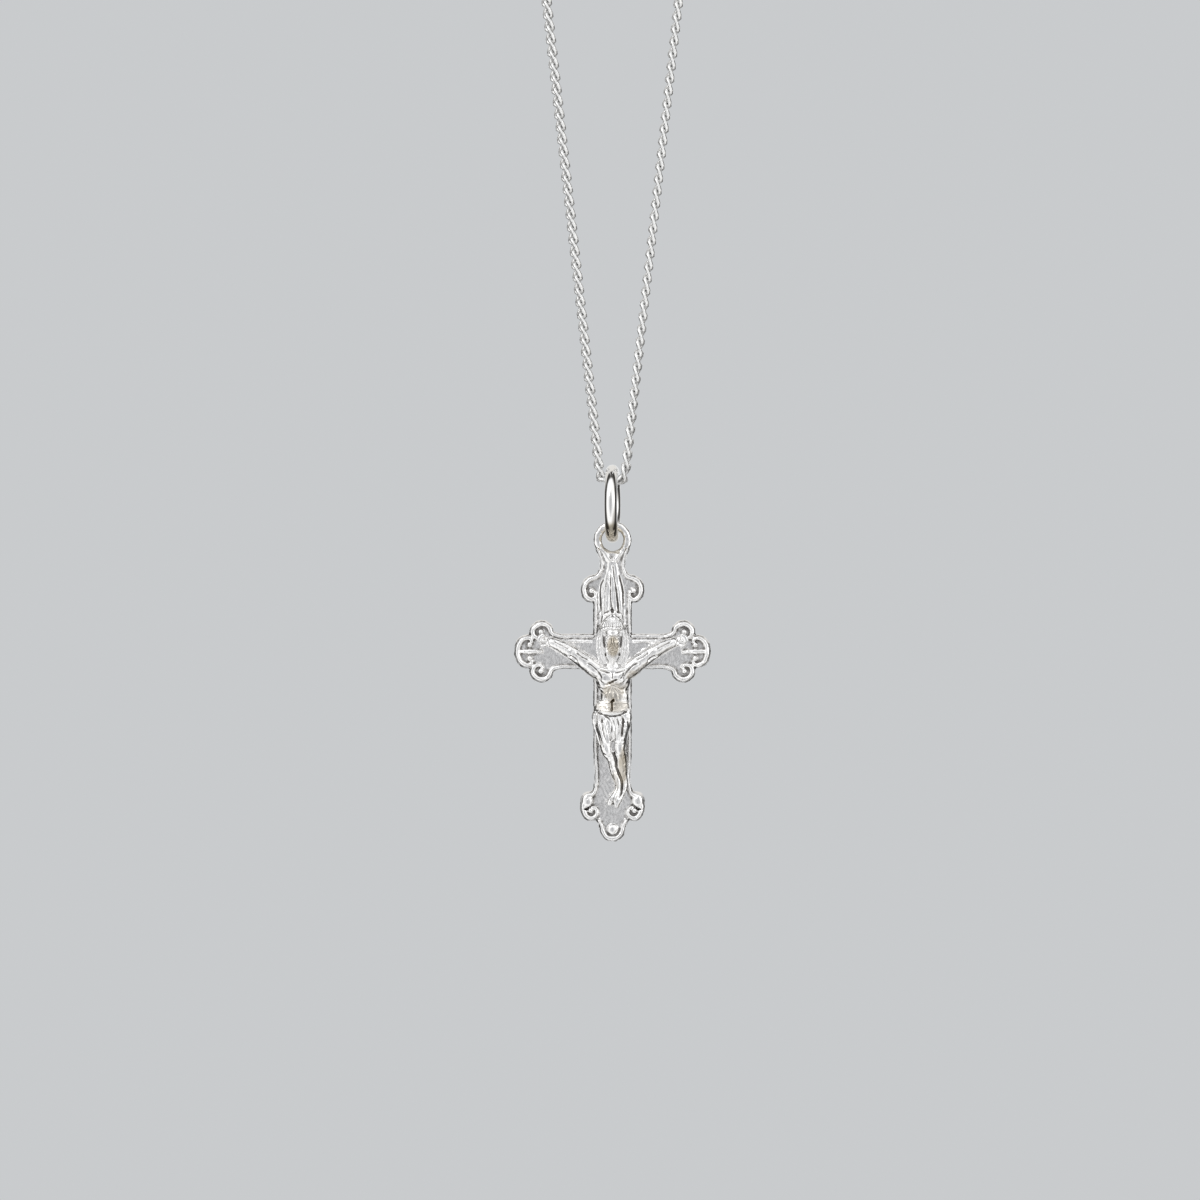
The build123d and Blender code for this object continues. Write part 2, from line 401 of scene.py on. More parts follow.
def makeSilver(name, finish):
    material = bpy.data.materials.new(name)
    bench = ShaderBench(material)
    place = bench.node("ShaderNodeTexCoord", output=3)
    cloud, grain = (
        bench.node("ShaderNodeTexNoise", None, {"Vector": place, "Scale": scale, "Detail": detail})
        for scale, detail in ((finish["cloudScale"], 4.0), (finish["grainScale"], 2.0))
    )
    shade = bench.smooth(cloud, *finishes["cloudEdge"]) * finish["cloudDepth"]
    # darker by hollow: painted shade in creases and between links, and on the cast also its patina
    if "recess" in finish:
        hollow = bench.node("ShaderNodeAttribute", {"attribute_name": "hollow"}, None, 2)
        shade = shade + bench.smooth(hollow, *finish["recess"]) * finish["recessShade"]
    shade = bench.maths("MINIMUM", shade, 1.0)
    colour = bench.blend(shade, (*finish["bright"], 1), (*finish["dullAndShade"], 1))
    if "shadeTint" in finish:  # painted shade: a warm tan tint laid in spots, in place of shade and warm reflection
        toning = bench.node("ShaderNodeAttribute", {"attribute_name": "toning"}, None, 2)
        share = finishes["cloudInPaintedShade"]
        patches = bench.smooth(toning + cloud * share - share / 2, 0.0, 1.0)
        colour = bench.blend(patches, colour, (*finish["shadeTint"], 1))
    roughness = finish["roughness"] + shade * finish["roughnessSpread"] + grain * finishes["grainInRoughness"]
    height = grain + cloud * finishes["cloudInBump"]
    bump = bench.node(
        "ShaderNodeBump", None,
        {"Strength": finish["bump"], "Distance": finish["bumpHeight"], "Height": height},
    )
    values = {"Base Color": colour, "Metallic": 1.0, "Roughness": roughness, "Normal": bump}
    silver = bench.node("ShaderNodeBsdfPrincipled", None, values)
    bench.node("ShaderNodeOutputMaterial", None, {0: silver})
    return material


def dress(obj, material):
    obj.data.materials.clear()
    obj.data.materials.append(material)


# Chain
links = {
    "pitch": 1.155,
    "wire": 0.4,
    "width": 1.12,
    "play": 0.01,
    "twist": -62,
    "squareness": 0.92,
    "lean": 6.4,
    "bendRadius": 1.2,
    "bendLift": 1.25,  # from the ring's hinge up to the middle of the bend over its wire
    "linkRingInside": 1.0,  # the inside radius of the two small rings, where the chain's ends hook in
    "catchRingInside": 1.2,
    # how far each stretch's links are turned about the chain: distance along it from 0 to 1, degrees
    "turns": [
        (0, 50), (0.27, 66), (0.376, 72), (0.40, 80), (0.425, 96), (0.48, 100), (0.75, 110), (1, 120),
    ],
}


def addLink(reach):
    half = (links["width"] - links["wire"]) / 2
    pull = links["squareness"]
    clearSelection()
    bpy.ops.curve.primitive_bezier_circle_add(location=(0, 0, 0))
    curve = bpy.context.object.data
    curve.resolution_u = 4
    curve.bevel_depth = links["wire"] / 2
    curve.bevel_resolution = 1
    corners = [(-reach, 0), (0, half), (reach, 0), (0, -half)]
    for knot, (x, y) in zip(curve.splines[0].bezier_points, corners):
        knot.handle_left_type = "FREE"
        knot.handle_right_type = "FREE"
        knot.co = (x, y, 0)
        along = Vector((0, half * pull, 0)) if y == 0 else Vector((reach * pull, 0, 0))
        forward = 1 if (x < 0 or y > 0) else -1
        knot.handle_right = Vector(knot.co) + along * forward
        knot.handle_left = Vector(knot.co) - along * forward
    bpy.ops.object.convert(target="MESH")
    link = bpy.context.object
    span = link.dimensions.x
    angle = math.radians(2 * links["twist"]) * span / (2 * reach)
    useModifier(link, "SIMPLE_DEFORM", deform_method="TWIST", deform_axis="X", angle=angle)
    # painted shade on the inner faces, where the links touch and shade each other
    hollow = link.data.attributes.new("hollow", "FLOAT", "POINT")
    for vertex in link.data.vertices:
        inward = -Vector(vertex.co).normalized().dot(vertex.normal)
        hollow.data[vertex.index].value = max(0.0, inward)
    return shadeSmooth(link)


def chainRoute():  # points along its straight runs and bends
    lean = math.radians(links["lean"])
    down = Vector((math.sin(lean), 0, -math.cos(lean)))
    ringTop = swingZ + links["bendLift"]
    bend = links["bendRadius"]
    arcMiddle = Vector((0, 0, tubeRadius - pegBend))
    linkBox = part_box("link_ring")
    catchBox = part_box("catch_ring")
    start = (linkBox[0] + linkBox[1]) * 500 + down * links["linkRingInside"]
    finish = (catchBox[0] + catchBox[1]) * 500 - down * links["catchRingInside"]
    foot = Vector((-math.cos(lean), 0, -math.sin(lean))) * bend + Vector((0, 0, ringTop))
    crownSide = Vector((-math.cos(lean), 0, -math.sin(lean))) * pegBend + arcMiddle
    points = [start]

    def goTo(end, step=0.3):
        begin = points[-1].copy()
        count = max(2, round((end - begin).length / step))
        points.extend(begin.lerp(end, i / count) for i in range(1, count + 1))

    def swing(middle, radius, first, last, step=2.0):
        count = round(abs(last - first) / step)
        for i in range(1, count + 1):
            angle = math.radians(first + (last - first) * i / count)
            points.append(middle + Vector((math.cos(angle), 0, math.sin(angle))) * radius)

    goTo(foot)
    swing(Vector((0, 0, ringTop)), bend, 180 + links["lean"], 360 - links["lean"], 1.0)
    goTo(Vector((-crownSide.x, 0, crownSide.z)))
    swing(arcMiddle, pegBend, -links["lean"], 180 + links["lean"], 0.5)
    goTo(finish)
    return points


def walkRoute(points, pitch):  # joints along the route, each one pitch from the last
    joints = [points[0].copy()]
    index = 0
    while True:
        here = joints[-1]
        while index < len(points) - 1 and (points[index + 1] - here).length < pitch:
            index += 1
        if index >= len(points) - 1:
            return joints
        low, high = 0.0, 1.0
        begin, end = points[index], points[index + 1]
        for _ in range(30):
            middle = (low + high) / 2
            if (begin.lerp(end, middle) - here).length < pitch:
                low = middle
            else:
                high = middle
        joints.append(begin.lerp(end, high))


def turnAt(share):
    keys = links["turns"]
    for (low, first), (high, second) in zip(keys, keys[1:]):
        if share <= high:
            mix = (share - low) / (high - low)
            mix = mix * mix * (3 - 2 * mix)
            return math.radians(first + (second - first) * mix)
    return math.radians(keys[-1][1])


def addChain():
    route = chainRoute()
    goal = route[-1]
    pitch = links["pitch"]
    count = len(walkRoute(route, pitch)) - 1
    shortest, longest = pitch * 0.99, pitch * 1.01
    for _ in range(24):  # the pitch at which a whole number of links reaches the clasp's ring
        pitch = (shortest + longest) / 2
        if len(walkRoute(route, pitch)) - 1 >= count:
            shortest = pitch
        else:
            longest = pitch
    joints = walkRoute(route, shortest)
    reach = (shortest + links["wire"]) / 2 + links["play"]
    model = addLink(reach)
    copies = []
    for i in range(count):
        first, second = joints[i], joints[i + 1]
        along = (second - first).normalized()
        level = Vector((0, 1, 0)).cross(along)
        angle = turnAt((i + 0.5) / count)
        side = level * math.cos(angle) + Vector((0, 1, 0)) * math.sin(angle)
        third = along.cross(side)
        turned = Matrix((along, side, third)).transposed().to_4x4()
        copy = model.copy()
        copy.data = model.data.copy()
        copy.data.transform(Matrix.Translation((first + second) / 2) @ turned)
        bpy.context.collection.objects.link(copy)
        copies.append(copy)
    bpy.data.objects.remove(model)
    chain = joinAs("curb_chain", copies)
    toFrame(chain, (0, 0, 0))
    left = (joints[-1] - goal).length
    print("chain of", count, "links, pitch", round(shortest, 4), "ends", round(left, 4), "from the ring")
    return chain


# Marks on a mesh that its silver reads
def markHollows(obj, rounds, reach):  # how far each point lies below its smoothed surroundings
    mesh = obj.data
    count = len(mesh.vertices)
    places = np.empty(count * 3)
    normals = np.empty(count * 3)
    pairs = np.empty(len(mesh.edges) * 2, np.int32)
    mesh.vertices.foreach_get("co", places)
    mesh.vertices.foreach_get("normal", normals)
    mesh.edges.foreach_get("vertices", pairs)
    places = places.reshape(-1, 3)
    normals = normals.reshape(-1, 3)
    first, second = pairs.reshape(-1, 2).T
    degree = np.bincount(pairs, minlength=count)
    smooth = places.copy()
    for _ in range(rounds):
        total = np.empty_like(smooth)
        for axis in range(3):
            total[:, axis] = np.bincount(first, smooth[second, axis], count)
            total[:, axis] += np.bincount(second, smooth[first, axis], count)
        smooth = total / degree[:, None]
    hollow = ((smooth - places) * normals).sum(1) / reach
    attribute = mesh.attributes.new("hollow", "FLOAT", "POINT")
    attribute.data.foreach_set("value", np.clip(hollow, -1, 1).astype(np.float32))


def markPaintedShade(obj, spots):  # painted warm shade on the front, in soft spots of x, z, half width, half height, strength
    attribute = obj.data.attributes.new("toning", "FLOAT", "POINT")
    for vertex in obj.data.vertices:
        x, _, z = vertex.co
        found = 0.0
        if vertex.normal.y < 0.3:
            for spotX, spotZ, wide, high, strength in spots:
                reach = ((x - spotX) / wide) ** 2 + ((z - spotZ) / high) ** 2
                found = max(found, strength * min(1.0, max(0.0, 1.6 - reach)))
        attribute.data[vertex.index].value = found


# Jump ring
jumpRing = {
    "radius": 3.0,
    "wire": 1.2,
    "segments": 144,
    "sides": 32,
    "seamAngle": 128,
    "seamDepth": 0.05,
    "toning": [(0, -2.7, 1.5, 0.9, 0.8)],  # painted warm shade low on the ring, where the eye hangs
}


def addJumpRing():
    clearSelection()
    bpy.ops.mesh.primitive_torus_add(
        major_segments=jumpRing["segments"], minor_segments=jumpRing["sides"],
        major_radius=jumpRing["radius"], minor_radius=jumpRing["wire"] / 2,
    )
    ring = bpy.context.object
    seam = math.radians(jumpRing["seamAngle"])
    wireMiddle = Vector((math.cos(seam), math.sin(seam), 0)) * jumpRing["radius"]
    bpy.ops.object.mode_set(mode="EDIT")
    bpy.ops.mesh.select_all(action="DESELECT")
    bpy.ops.object.mode_set(mode="OBJECT")
    step = 2 * math.pi / jumpRing["segments"]
    for vertex in ring.data.vertices:
        away = (math.atan2(vertex.co.y, vertex.co.x) - seam + math.pi) % (2 * math.pi) - math.pi
        vertex.select = abs(away) < step * 0.5
    bpy.ops.object.mode_set(mode="EDIT")
    shrink = 1 - jumpRing["seamDepth"] / (jumpRing["wire"] / 2)
    bpy.ops.transform.resize(value=(shrink,) * 3, center_override=wireMiddle)
    bpy.ops.object.mode_set(mode="OBJECT")
    tilt = Vector((0, 0, 1)).rotation_difference(ringAxis)
    ring.rotation_mode = "QUATERNION"
    ring.rotation_quaternion = tilt
    bakePlace(ring)
    ring.name = "open_jump_ring"
    # painted warm shade low on the ring
    markPaintedShade(ring, jumpRing["toning"])
    toFrame(ring, ringMiddle)
    return shadeSmooth(ring)


# Sculpting by strokes
strokeStep = 0.03  # between two samples of a stroke


def sampleStroke(points):  # a smooth line through the points
    knots = [np.array(p, float) for p in points]
    knots = [2 * knots[0] - knots[1], *knots, 2 * knots[-1] - knots[-2]]
    samples = []
    for a, b, c, d in zip(knots, knots[1:], knots[2:], knots[3:]):
        count = max(2, int(np.linalg.norm(c - b) / strokeStep))
        for t in np.arange(count) / count:
            samples.append(0.5 * (2 * b + (c - a) * t + (2 * a - 5 * b + 4 * c - d) * t**2
                                  + (3 * b - a - 3 * c + d) * t**3))
    samples.append(knots[-2])
    return np.array(samples)


def sculpt(obj, strokes):  # width, depth (below 0 builds up) and x, z points of each stroke on the front
    mesh = obj.data
    count = len(mesh.vertices)
    places = np.empty(count * 3)
    normals = np.empty(count * 3)
    mesh.vertices.foreach_get("co", places)
    mesh.vertices.foreach_get("normal", normals)
    places = places.reshape(-1, 3)
    normals = normals.reshape(-1, 3)
    facing = np.clip((-normals[:, 1] - 0.05) / 0.4, 0, 1)
    flat = places[:, [0, 2]].copy()
    for width, depth, points in strokes:
        line = sampleStroke(points)
        low = line.min(0) - width
        high = line.max(0) + width
        near = np.nonzero(((flat > low) & (flat < high)).all(1) & (facing > 0))[0]
        if not len(near):
            continue
        gaps = np.linalg.norm(flat[near, None, :] - line[None, :, :], axis=2)
        closest = gaps.argmin(1)
        share = closest / max(1, len(line) - 1)
        ends = np.clip(np.minimum(share, 1 - share) * 6 + 0.35, 0, 1) if len(points) > 2 else 1.0
        fall = np.clip(1 - (gaps.min(1) / width) ** 2, 0, 1) ** 2
        places[near] -= normals[near] * (depth * fall * ends * facing[near])[:, None]
    mesh.vertices.foreach_set("co", places.ravel())
    mesh.update()


def twin(strokes):
    return strokes + [(width, depth, [(-x, z) for x, z in points]) for width, depth, points in strokes]


# Crucifix: the cross
cross = {
    "back": 0.48,
    "field": -0.3,
    "rimDepth": -0.4,
    "crest": 0.76,
    "draft": 0.06,
    "voxel": 0.062,
    "smoothing": 3,
    "unevenness": 0.09,
    "unevenSpacing": 0.42,
    "shaftHalf": 1.66,
    "barHalf": 1.5,
    "barReach": 7.4,
    "upperEnd": 5.4,
    "lowerEnd": -15.4,
    "neck": [(1.5, 5.0), (1.3, 6.9), (1.22, 7.4), (1.12, 8.3), (1.36, 9.02)],
    "sill": [(-1.25, -16.2), (1.25, -16.2), (1.4, -15.2), (-1.4, -15.2)],
    "footLobe": (0, -16.35, 0.95, 0.95),
    # on each side, x, z, half width and half height of the lobes
    "lobes": [
        (1.85, 5.7, 0.82, 1.1), (6.58, 1.85, 0.86, 0.82), (6.58, -1.85, 0.86, 0.82), (7.6, 0, 1.2, 1.25),
        (2.0, -14.35, 0.8, 1.1),
    ],
    "scrollEnds": [(6.6, 1.8), (6.6, -1.8), (1.92, 5.6), (2.02, -14.62), (7.6, 0.62), (7.6, -0.62)],
    "scrollEndSize": (0.26, 0.28, 0.26),
    "fluteSteps": (-1.5, -0.5, 0.5, 1.5),
    "eye": {"z": 10.26, "radius": 1.37, "wire": 0.38, "flatness": 0.7},
}

# Rim strands for the right half, from their start to their curled end: x, z, radius
rims = {
    "upperScroll": [
        (1.42, 9.5, 0.16), (1.14, 8.85, 0.17), (0.98, 8.2, 0.19), (1.06, 7.4, 0.22), (1.4, 6.9, 0.25),
        (1.95, 6.7, 0.28), (2.48, 6.25, 0.3), (2.6, 5.5, 0.31), (2.25, 4.88, 0.3), (1.74, 4.86, 0.25),
        (1.56, 5.35, 0.2), (1.9, 5.62, 0.2),
    ],
    "upperRail": [(1.55, 1.7, 0.2), (1.55, 3.2, 0.2), (1.55, 4.9, 0.2)],
    "topScroll": [
        (1.7, 1.4, 0.19), (3.4, 1.4, 0.2), (4.9, 1.42, 0.21), (5.6, 1.7, 0.25), (5.84, 2.22, 0.29),
        (6.45, 2.54, 0.31), (7.1, 2.3, 0.31), (7.33, 1.72, 0.3), (6.98, 1.26, 0.25), (6.48, 1.42, 0.2),
        (6.6, 1.82, 0.19),
    ],
    "endRim": [
        (7.72, 0.72, 0.17), (7.42, 0.86, 0.2), (7.6, 1.2, 0.24), (8.12, 1.18, 0.29), (8.56, 0.74, 0.31),
        (8.7, 0.0, 0.31), (8.56, -0.74, 0.31), (8.12, -1.18, 0.29), (7.6, -1.2, 0.24), (7.42, -0.86, 0.2),
        (7.72, -0.72, 0.17),
    ],
    "lowerRail": [
        (1.55, -1.6, 0.2), (1.55, -5.0, 0.2), (1.55, -9.0, 0.2), (1.55, -12.6, 0.21), (1.8, -13.12, 0.27),
        (2.38, -13.38, 0.42), (2.6, -13.98, 0.36), (2.6, -14.7, 0.3), (2.18, -15.28, 0.3),
        (1.62, -15.18, 0.26), (1.42, -14.68, 0.22), (1.78, -14.36, 0.2), (2.04, -14.66, 0.19),
    ],
    "footRim": [
        (1.3, -15.45, 0.2), (1.02, -16.0, 0.24), (0.8, -16.7, 0.27), (0.42, -17.12, 0.28),
        (0.0, -17.22, 0.28),
    ],
}
rims["bottomScroll"] = [(x, -z, radius) for x, z, radius in rims["topScroll"]]


def roughen(obj, height, spacing):  # the soft unevenness of a small casting
    cloud = bpy.data.textures.new(obj.name + "_unevenness", "CLOUDS")
    cloud.noise_scale = spacing
    cloud.noise_depth = 2
    return useModifier(obj, "DISPLACE", texture=cloud, strength=height, mid_level=0.5)


def atDepth(points, y):
    return [(x, y, z, radius) for x, z, radius in points]


def bothSides(strand):
    return [strand, mirrored(strand)]


def crossStrokes():
    return [
        (0.11, 0.16, [(0.03, 7.9), (0.14, 6.9), (0.34, 5.7), (0.46, 4.6), (0.57, 3.5)]),  # between the flutes
        (0.11, 0.16, [(-0.16, 7.4), (-0.2, 6.2), (-0.18, 5.0), (-0.1, 4.2), (0.04, 3.4)]),
        (0.1, 0.12, [(-0.42, 7.3), (-0.66, 6.0), (-0.72, 4.6), (-0.66, 3.3)]),
        (0.11, 0.16, [(-0.86, 6.6), (-1.1, 5.9), (-1.12, 4.6), (-1.04, 3.3), (-1.12, 2.3)]),
        (0.11, 0.16, [(0.62, 7.0), (0.9, 5.9), (1.0, 4.6), (1.02, 3.4), (1.06, 2.3)]),
        (0.14, 0.1, [(-1.22, 2.1), (-1.1, 2.9), (-0.7, 3.5), (0, 3.78), (0.7, 3.5), (1.1, 2.9),
                     (1.22, 2.1)]),  # round the head
        (0.1, 0.2, [(-2.68, -14.5), (-2.3, -14.44), (-1.8, -14.05)]),  # under the lower scrolls' tops
        (0.1, 0.2, [(2.68, -14.5), (2.3, -14.44), (1.8, -14.05)]),
    ]


def addCross():
    back, field, depth = cross["back"], cross["field"], cross["rimDepth"]
    shaft, bar, reach = cross["shaftHalf"], cross["barHalf"], cross["barReach"]
    low, high, neck = cross["lowerEnd"], cross["upperEnd"], cross["neck"]
    outlines = [
        [(-shaft, low), (shaft, low), (shaft, high), (-shaft, high)],
        cross["sill"],
        [(-reach, -bar), (reach, -bar), (reach, bar), (-reach, bar)],
        [(-x, z) for x, z in neck] + neck[::-1],
        ellipse(*cross["footLobe"]),
    ]
    outlines += [ellipse(side * x, *rest) for side in (-1, 1) for x, *rest in cross["lobes"]]
    parts = [addSlab(outline, back, field) for outline in outlines]
    strands = []
    for points in rims.values():
        crest = [(x, z, radius * cross["crest"]) for x, z, radius in points]
        strands += bothSides(atDepth(crest, depth))
        carrier = [(x, z, radius + cross["draft"]) for x, z, radius in points]
        strands += bothSides(atDepth(carrier, 0.1))  # the sloping edge that carries the rim
    for k in cross["fluteSteps"]:  # the fan of broad flutes
        tip, waist = (0.16 * k, -0.25, 8.3, 0.14), (0.42 * k, -0.22, 5.3, 0.32)
        strands.append([tip, waist, (0.62 * k, -0.2, 2.4, 0.38)])
    for side in (-1, 1):  # the bar's rail, the rib on its end and the web up to the eye
        strands += [
            [(side * 1.9, -0.28, 0.93, 0.1), (side * 5.3, -0.28, 0.97, 0.1)],
            [(side * 6.4, -0.34, 0, 0.14), (side * 7.5, -0.4, 0, 0.24), (side * 8.4, -0.36, 0, 0.17)],
            [(side * 1.06, 0, 9.42, 0.34), (side * 0.62, -0.12, 8.86, 0.32), (side * 0.24, -0.26, 8.3, 0.24)],
        ]
        for x, z in cross["scrollEnds"]:
            parts.append(addBlob((side * x, -0.42, z), cross["scrollEndSize"]))
        parts.append(addBlob((side * 2.3, -0.42, -13.78), (0.56, 0.34, 0.6)))  # the lower scroll's swelling
    parts.append(addBlob((0, -0.28, -16.35), (0.5, 0.32, 0.5)))
    parts.append(addStrands(strands))
    clearSelection()
    eye = cross["eye"]
    bpy.ops.mesh.primitive_torus_add(
        location=(0, 0, eye["z"]), rotation=(math.pi / 2, 0, 0), major_segments=64, minor_segments=20,
        major_radius=eye["radius"], minor_radius=eye["wire"],
    )
    bpy.context.object.scale.z = eye["flatness"]
    parts.append(bakePlace(bpy.context.object))
    casting = joinAs("crucifix_cross", parts)
    useModifier(casting, "REMESH", mode="VOXEL", voxel_size=cross["voxel"])
    useModifier(casting, "SMOOTH", factor=0.5, iterations=cross["smoothing"])
    sculpt(casting, crossStrokes())
    return roughen(casting, cross["unevenness"], cross["unevenSpacing"])


# Crucifix: the figure
figure = {
    "formVoxel": 0.09,
    "voxel": 0.05,
    "headVoxel": 0.032,
    "cut": -0.12,  # where the plate's face cuts it off
    "fingers": [(6.52, 1.56), (6.74, 1.46), (6.88, 1.28), (6.92, 1.06)],  # x and z of the tips
    "nail": (6.32, -1.0, 0.98),
    "nailSize": (0.16, 0.13, 0.16),
    "footNail": [(-0.02, -1.4, -13.55, 0.14), (-0.04, -1.7, -13.58, 0.13)],
    # the twisted band across the brow: how far round it goes, its turns, its swing and its wire
    "browBand": {
        "span": 1.35, "turns": 11, "depthSwing": 0.05, "heightSwing": 0.08, "wire": 0.1, "count": 34,
    },
    # painted warm shade on the face, chest, band and legs: x, z, half width, half height, strength
    "toning": [
        (0.05, 0.5, 0.55, 0.95, 0.85), (0.15, -3.7, 1.1, 0.9, 0.6), (0.98, -10.4, 0.42, 1.7, 0.75),
        (0.2, -12.0, 0.4, 1.1, 0.4), (1.9, -2.2, 0.6, 0.5, 0.55), (-1.8, -2.5, 0.5, 0.4, 0.45),
        (0, -5.0, 1.5, 0.6, 0.6),
    ],
}

bodyBlobs = [  # middle, size
    ((0.06, -0.72, -2.6), (1.66, 0.84, 1.5)),
    ((-0.68, -1.24, -2.4), (0.84, 0.4, 0.6)),
    ((0.72, -1.24, -2.4), (0.84, 0.4, 0.6)),
    ((0.18, -0.76, -4.15), (1.34, 0.72, 1.32)),
    ((-0.08, -0.78, -5.9), (1.72, 0.9, 1.1)),
    ((-0.12, -0.7, -5.15), (1.66, 0.72, 0.78)),
    ((-1.35, -0.72, -6.1), (0.62, 0.58, 0.9)),
    ((0.05, -0.8, -7.0), (1.5, 0.85, 1.25)),
    ((-0.58, -1.42, -8.95), (0.48, 0.42, 0.52)),
    ((0.66, -1.36, -8.85), (0.46, 0.42, 0.5)),
    ((-6.32, -0.64, 1.0), (0.56, 0.34, 0.58)),
    ((6.32, -0.64, 1.0), (0.56, 0.34, 0.58)),
]

limbs = {
    "leftLeg": [(-0.8, -0.85, -6.6, 0.82), (-0.72, -1.1, -7.9, 0.7), (-0.56, -1.35, -9.0, 0.56),
                (-0.1, -1.16, -10.0, 0.42), (0.14, -1.02, -11.1, 0.4), (0.52, -0.94, -12.4, 0.32),
                (0.24, -1.05, -13.1, 0.33), (-0.16, -1.25, -13.7, 0.36), (-0.34, -1.22, -14.15, 0.27)],
    "rightLeg": [(0.82, -0.85, -6.6, 0.8), (0.8, -1.05, -7.9, 0.62), (0.68, -1.25, -8.9, 0.52),
                 (0.84, -1.0, -10.0, 0.52), (0.93, -0.85, -11.2, 0.46), (1.12, -0.78, -12.4, 0.33),
                 (0.84, -0.88, -13.1, 0.33), (0.5, -1.0, -13.8, 0.34), (0.3, -1.0, -14.35, 0.26)],
    "neck": [(0, -0.8, 0, 0.55), (0, -0.7, -1.9, 0.7)],
    "clothTail": [(1.36, -1.1, -5.2, 0.3), (1.4, -1.0, -6.4, 0.34), (1.22, -0.9, -7.5, 0.26),
                  (1.0, -0.85, -8.2, 0.2)],
}
pairedLimbs = {
    "arm": [(0.9, -0.8, -2.0, 0.78), (1.6, -0.95, -1.62, 0.86), (2.5, -0.95, -0.95, 0.82),
            (3.4, -0.9, -0.3, 0.75), (4.3, -0.82, 0.22, 0.69), (5.2, -0.74, 0.66, 0.58),
            (5.9, -0.68, 0.92, 0.48)],
}

band = [  # the loincloth's band, laid on the body: x, z, radius
    [(-1.3, -4.68, 0.26), (-0.6, -4.74, 0.28), (0.1, -4.76, 0.28), (0.8, -4.72, 0.28), (1.32, -4.64, 0.26)],
    [(-1.38, -4.95, 0.3), (-0.6, -5.08, 0.32), (0.1, -5.12, 0.32), (0.8, -5.02, 0.32), (1.38, -4.88, 0.3)],
    [(-1.44, -5.22, 0.28), (-0.7, -5.42, 0.32), (0.05, -5.5, 0.32), (0.8, -5.36, 0.32), (1.42, -5.1, 0.28)],
]

folds = [
    [(-1.6, -5.75, 0.2), (-1.7, -6.5, 0.19), (-1.45, -7.5, 0.16), (-1.12, -8.7, 0.06)],
    [(-1.2, -5.75, 0.17), (-1.22, -6.6, 0.2), (-1.0, -7.5, 0.17), (-0.72, -8.9, 0.06)],
    [(-0.74, -5.95, 0.15), (-0.72, -6.6, 0.18), (-0.5, -7.5, 0.17), (-0.26, -8.6, 0.06)],
    [(-0.3, -6.05, 0.13), (-0.1, -6.6, 0.17), (0.08, -7.4, 0.16), (0.12, -8.2, 0.1)],
    [(0.2, -6.0, 0.14), (0.36, -6.5, 0.17), (0.46, -7.2, 0.16), (0.44, -8.2, 0.1)],
    [(0.68, -5.9, 0.16), (0.74, -6.5, 0.18), (0.72, -7.3, 0.16), (0.66, -8.3, 0.1)],
    [(1.2, -5.6, 0.18), (1.24, -6.4, 0.2), (1.08, -7.4, 0.17), (0.92, -8.3, 0.1)],
    [(-0.1, -8.12, 0.09), (0.3, -8.28, 0.1), (0.7, -8.4, 0.1), (1.12, -8.34, 0.09)],
]

headBlobs = [
    ((0, -0.76, 2.2), (1.08, 0.9, 1.22)),
    ((0, -0.86, 2.74), (0.86, 0.8, 0.82)),
    ((0, -1.05, 1.1), (0.84, 0.82, 1.1)),
    ((0, -1.14, 1.7), (0.74, 0.62, 0.55)),
    ((0, -1.15, 0.45), (0.64, 0.66, 0.66)),
    ((0, -0.6, -0.1), (1.15, 0.5, 1.45)),
    ((0.11, -1.86, 0.66), (0.09, 0.1, 0.08)),
    ((-0.11, -1.86, 0.66), (0.09, 0.1, 0.08)),
]
headStrands = [
    [(0, -1.72, 1.42, 0.1), (0, -1.86, 1.05, 0.1), (0, -1.93, 0.74, 0.13)],
    [(0, -1.4, 0.12, 0.46), (0, -1.46, -0.5, 0.38), (0, -1.4, -1.1, 0.25), (0, -1.3, -1.62, 0.09)],
    [(-0.17, -1.76, 0.22, 0.06), (0, -1.84, 0.19, 0.08), (0.17, -1.76, 0.22, 0.06)],
]
pairedHeadStrands = [
    [(0.1, -1.74, 1.43, 0.07), (0.36, -1.72, 1.52, 0.085), (0.64, -1.5, 1.4, 0.06)],
    [(0.2, -1.58, 1.13, 0.07), (0.36, -1.62, 1.16, 0.1), (0.53, -1.52, 1.12, 0.07)],
    [(0.05, -1.84, 0.42, 0.08), (0.25, -1.8, 0.34, 0.1), (0.4, -1.64, 0.02, 0.06)],
    [(0.5, -1.4, 0.95, 0.15), (0.6, -1.25, 0.75, 0.16)],
    [(0.68, -1.1, 0.8, 0.16), (0.56, -1.3, 0.15, 0.22), (0.3, -1.42, -0.45, 0.24),
     (0.08, -1.38, -1.15, 0.15)],
    [(0.36, -0.92, 2.9, 0.24), (0.8, -1.08, 2.25, 0.28), (0.95, -1.12, 1.4, 0.3), (0.94, -1.1, 0.5, 0.31),
     (0.84, -1.12, -0.4, 0.3), (0.6, -1.18, -1.15, 0.2)],
    [(0.62, -0.74, 2.66, 0.3), (0.96, -0.8, 2.1, 0.34), (1.1, -0.8, 1.3, 0.37), (1.14, -0.8, 0.4, 0.38),
     (1.05, -0.84, -0.45, 0.35), (0.88, -0.92, -1.15, 0.28), (0.7, -1.02, -1.65, 0.14)],
]


